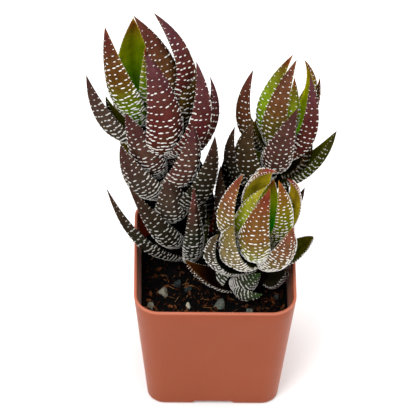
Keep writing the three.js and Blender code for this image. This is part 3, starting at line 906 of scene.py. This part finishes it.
def build_soil(material):
    random = np.random.default_rng(SEED)
    inset = POT_WALL + SOIL_WALL_GAP
    bottom = POT_FLOOR + CHANNEL_HEIGHT + SOIL_FLOOR_GAP
    rings = [rounded_square(pot_half(bottom) - inset, pot_corner(bottom) - inset, bottom,
                            SOIL_CORNER_STEPS, SOIL_SIDE_STEPS)]
    for i in range(SOIL_RINGS):
        share = 1 - i / SOIL_RINGS
        half = (pot_half(SOIL_LEVEL) - inset) * share
        corner = (pot_corner(SOIL_LEVEL) - inset) * share
        rings.append(rounded_square(half, corner, SOIL_LEVEL, SOIL_CORNER_STEPS, SOIL_SIDE_STEPS))
    points = np.vstack(rings)
    count = len(rings[0])
    x = points[count:, 0]
    y = points[count:, 1]
    crumbs = 0.3 * ripple(x, y, random, 24, 3.4, 1.0)
    clods = 0.25 * ripple(x, y, random, 10, 11.0, 4.0)
    points[count:, 2] = soil_height(x, y) - 0.35 + crumbs + clods
    faces = grid_faces(len(rings), count)
    faces += [tuple(reversed(range(count))), tuple(range(len(points) - count, len(points)))]
    return finish_piece(make_piece("soil_bed", points, faces, material), "soil", "soil")


def rock_shape(subdivisions):
    """Points and faces of an even ball."""
    ball = bmesh.new()
    bmesh.ops.create_icosphere(ball, subdivisions=subdivisions, radius=1.0)
    points = np.array([v.co for v in ball.verts])
    faces = [tuple(v.index for v in f.verts) for f in ball.faces]
    ball.free()
    return points, faces


def turned(random):
    """A random turn in space."""
    axis = unit(random.normal(size=3))
    return np.array(Matrix.Rotation(random.uniform(0, 2 * math.pi), 3, Vector(axis)))


def scatter_place(random, inset):
    """A random place on the soil, at least inset away from the pot's wall and clear of the stems."""
    half = pot_half(SOIL_LEVEL) - POT_WALL - inset
    corner = max(pot_corner(SOIL_LEVEL) - POT_WALL - inset, 0)
    while True:
        x, y = random.uniform(-half, half, 2)
        over_x = max(abs(x) - (half - corner), 0)
        over_y = max(abs(y) - (half - corner), 0)
        inside = math.hypot(over_x, over_y) <= corner
        clear = all(
            math.hypot(x - foot[0], y - foot[1]) > STEM_FOOT_RADIUS + 1
            for foot, _, _ in STEMS.values()
        )
        if inside and clear:
            return x, y


def build_crumbs(material):
    random = np.random.default_rng(SEED + 1)
    points, faces = rock_shape(1)
    heap = Heap()
    for _ in range(CRUMB_COUNT):
        x, y = scatter_place(random, 1.4)
        size = random.uniform(0.25, 0.95)
        uneven = points * random.uniform(0.65, 1.1, (len(points), 1)) * random.uniform(0.6, 1.2, 3)
        spot = np.array([x, y, soil_height(x, y) - 0.2 + random.uniform(-0.2, 0.35)])
        heap.add(uneven * size @ turned(random).T + spot, faces, tone=random.uniform())
    return finish_piece(heap.piece("soil_crumbs", material, smooth=False), "soil")


def build_bark(material):
    """Flat torn flakes of bark and coir in the top of the soil."""
    random = np.random.default_rng(SEED + 2)
    heap = Heap()
    for _ in range(FLAKE_COUNT):
        x, y = scatter_place(random, 2.0)
        if random.uniform() > np.interp(y, [-22, -12, 0], [1.0, 0.6, 0.25]):
            continue
        length = random.uniform(0.8, 3.0)
        width = length * random.uniform(0.2, 0.55)
        thick = random.uniform(0.25, 0.7)
        corners = []
        for level in (-1, 1):
            for turn in np.arange(FLAKE_SIDES) / FLAKE_SIDES * 2 * np.pi:
                ragged = random.uniform(0.7, 1.15)
                x_reach = math.cos(turn) * length / 2 * ragged
                y_reach = math.sin(turn) * width / 2 * ragged
                corners.append((x_reach, y_reach, level * thick / 2))
        roll = Matrix.Rotation(random.normal(0, 0.45), 3, "X")
        tilt = np.array(roll @ Matrix.Rotation(random.normal(0, 0.4), 3, "Y"))
        spin = np.array(Matrix.Rotation(random.uniform(0, 2 * math.pi), 3, "Z"))
        spot = np.array([x, y, soil_height(x, y) + random.uniform(-0.1, 0.35)])
        faces = [tuple(reversed(range(FLAKE_SIDES))), tuple(range(FLAKE_SIDES, 2 * FLAKE_SIDES))]
        faces += grid_faces(2, FLAKE_SIDES)
        heap.add(np.array(corners) @ tilt.T @ spin.T + spot, faces, tone=random.uniform())
    return finish_piece(heap.piece("soil_bark", material, smooth=False), "soil")


def build_fibres(material):
    """Thin coir fibres and bits of straw, each a bent thread that lies on the soil."""
    random = np.random.default_rng(SEED + 3)
    heap = Heap()
    turns = np.arange(FIBRE_SIDES) / FIBRE_SIDES * 2 * np.pi
    for _ in range(FIBRE_COUNT):
        x, y = scatter_place(random, 5)
        length = random.uniform(2.0, 4.5) + np.interp(y, [-22, -14], [3.0, 0.0])
        radius = random.uniform(0.07, 0.16)
        heading = random.uniform(0, 2 * math.pi)
        bend = random.normal(0, 0.6)
        lift = random.uniform(0.0, 0.5)
        rings = []
        spot = np.array([x, y])
        for i in range(FIBRE_STEPS):
            share = i / (FIBRE_STEPS - 1)
            turn = heading + bend * (share - 0.5)
            ground = soil_height(*np.clip(spot, -FIBRE_REACH, FIBRE_REACH))
            z = ground + 0.2 + lift * math.sin(share * math.pi)
            across = np.array([-math.sin(turn), math.cos(turn), 0.0])
            taper = radius * (0.35 + 0.65 * math.sin(share * math.pi))
            ring = np.array([*spot, z]) + taper * (np.cos(turns)[:, None] * across
                                                   + np.sin(turns)[:, None] * np.array([0.0, 0.0, 1.0]))
            rings.append(ring)
            spot = spot + length / FIBRE_STEPS * np.array([math.cos(turn), math.sin(turn)])
            spot = np.clip(spot, -FIBRE_REACH, FIBRE_REACH)
        count = FIBRE_STEPS * FIBRE_SIDES
        faces = grid_faces(FIBRE_STEPS, FIBRE_SIDES)
        faces += [tuple(reversed(range(FIBRE_SIDES))), tuple(range(count - FIBRE_SIDES, count))]
        heap.add(np.vstack(rings), faces, tone=random.uniform())
    return finish_piece(heap.piece("soil_fibres", material), "soil")


# How light each stone is, from stone_1 on. Their places and sizes are those of the solids.
STONE_TONES = ("pale", "pale", "slate", "slate", "grey", "white", "grey", "grey", "slate", "pale")
STONE_COLOURS = {
    "pale": ((120, 120, 104), (190, 188, 168)),
    "slate": ((34, 42, 42), (84, 92, 92)),
    "grey": ((76, 84, 78), (150, 156, 144)),
    "white": ((176, 170, 152), (236, 228, 206)),
}


def build_stones():
    """Broken pumice: a ball cut by a few flat faces, then roughened."""
    points, faces = rock_shape(4)
    looks = {}
    for key, (dark, light) in STONE_COLOURS.items():
        looks[key] = earth_material(f"pumice_{key}", [(0.3, seen(*dark)), (0.7, seen(*light))], scale=900)
    for index, key in enumerate(STONE_TONES):
        node = f"stone_{index + 1}"
        low, high = (np.array(corner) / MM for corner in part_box(node))
        random = np.random.default_rng(SEED + 10 + index)
        shape = points.copy()
        for _ in range(ROCK_CUTS):
            normal = unit(random.normal(size=3))
            depth = random.uniform(0.4, 0.72)
            over = np.clip(shape @ normal - depth, 0, None)
            shape -= over[:, None] * normal
        pits = ripple(shape[:, 0] * 3, shape[:, 1] * 3 + shape[:, 2] * 5, random, 14, 2.2, 0.6)
        shape *= 1 + 0.025 * pits[:, None]
        shape -= (shape.max(0) + shape.min(0)) / 2
        shape /= (shape.max(0) - shape.min(0)) / 2
        placed = (low + high) / 2 + shape * (high - low) / 2
        piece = make_piece(f"{node}_pumice", placed, faces, looks[key])
        piece.data.set_sharp_from_angle(angle=math.radians(24))
        finish_piece(piece, "pumice", node)


# ---------- stage ----------

CAMERA_TARGET = Vector((-3.14, 0, 84.3)) * MM
CAMERA_AZIMUTH = math.radians(-1.4)
CAMERA_ELEVATION = math.radians(44.8)
CAMERA_ROLL = math.radians(1.4)
CAMERA_DISTANCE = 1.5
CAMERA_LENS = 334
CAMERA_SENSOR = 36
CAMERA_REACH = 20
FLOOR_REACH = 2500
# Round lights: where each hangs, how wide it is and its power. All of them point at one place.
LIGHTS = {
    "key": ((-0.8, -1.0, 1.7), 1.2, 26),
    "fill": ((1.6, -0.7, 1.2), 1.4, 8),
    "top": ((0.1, 0.6, 2.1), 1.2, 14),
}
LIGHT_TARGET = (0, 0, 0.06)
WORLD_STRENGTH = 0.95


def build_camera():
    data = bpy.data.cameras.new("camera")
    data.sensor_width = CAMERA_SENSOR
    data.lens = CAMERA_LENS
    data.clip_end = CAMERA_REACH
    camera = bpy.data.objects.new("camera", data)
    bpy.context.scene.collection.objects.link(camera)
    back = Vector((math.sin(CAMERA_AZIMUTH) * math.cos(CAMERA_ELEVATION),
                   -math.cos(CAMERA_AZIMUTH) * math.cos(CAMERA_ELEVATION), math.sin(CAMERA_ELEVATION)))
    right = Vector((math.cos(CAMERA_AZIMUTH), math.sin(CAMERA_AZIMUTH), 0))
    up = back.cross(right)
    turned_right = right * math.cos(CAMERA_ROLL) + up * math.sin(CAMERA_ROLL)
    turned_up = up * math.cos(CAMERA_ROLL) - right * math.sin(CAMERA_ROLL)
    pose = Matrix((turned_right, turned_up, back)).transposed().to_4x4()
    pose.translation = CAMERA_TARGET + back * CAMERA_DISTANCE
    camera.matrix_world = pose
    bpy.context.scene.camera = camera


def add_light(name, place, size, power):
    data = bpy.data.lights.new(name, "AREA")
    data.shape = "DISK"
    data.size = size
    data.energy = power
    light = bpy.data.objects.new(name, data)
    light.location = place
    light.rotation_euler = (Vector(LIGHT_TARGET) - Vector(place)).to_track_quat("-Z", "Y").to_euler()
    bpy.context.scene.collection.objects.link(light)


def build_stage(material):
    reach = FLOOR_REACH
    corners = [(-reach, -reach, 0), (reach, -reach, 0), (reach, reach, 0), (-reach, reach, 0)]
    floor = make_piece("floor", corners, [(0, 1, 2, 3)], material, smooth=False)
    for name, (place, size, power) in LIGHTS.items():
        add_light(name, place, size, power)
    world = bpy.data.worlds.new("studio")
    world.use_nodes = True
    world.node_tree.nodes["Background"].inputs["Color"].default_value = (1, 1, 1, 1)
    world.node_tree.nodes["Background"].inputs["Strength"].default_value = WORLD_STRENGTH
    bpy.context.scene.world = world
    bpy.context.scene.view_settings.view_transform = "Standard"


# ---------- the whole ----------

build_camera()
build_stage(floor_material())
build_pot(pot_material())
soil_stops = [(0.3, seen(10, 5, 4)), (0.55, seen(24, 14, 10)), (0.8, seen(60, 34, 22))]
bark_stops = [(0.3, seen(28, 15, 10)), (0.55, seen(84, 48, 30)), (0.8, seen(152, 98, 64))]
fibre_stops = [(0.3, seen(100, 56, 32)), (0.7, seen(190, 136, 84))]
build_soil(earth_material("soil_dark", soil_stops))
build_crumbs(earth_material("soil_crumb", soil_stops, scale=500, toned=0.5))
build_bark(earth_material("soil_bark", bark_stops, toned=0.6))
build_fibres(earth_material("soil_fibre", fibre_stops, scale=300, toned=0.6))
build_stones()
skin = leaf_material()
tubercle = tubercle_material()
for shoot in SHOOT_LOOK:
    build_shoot(shoot, skin, tubercle)
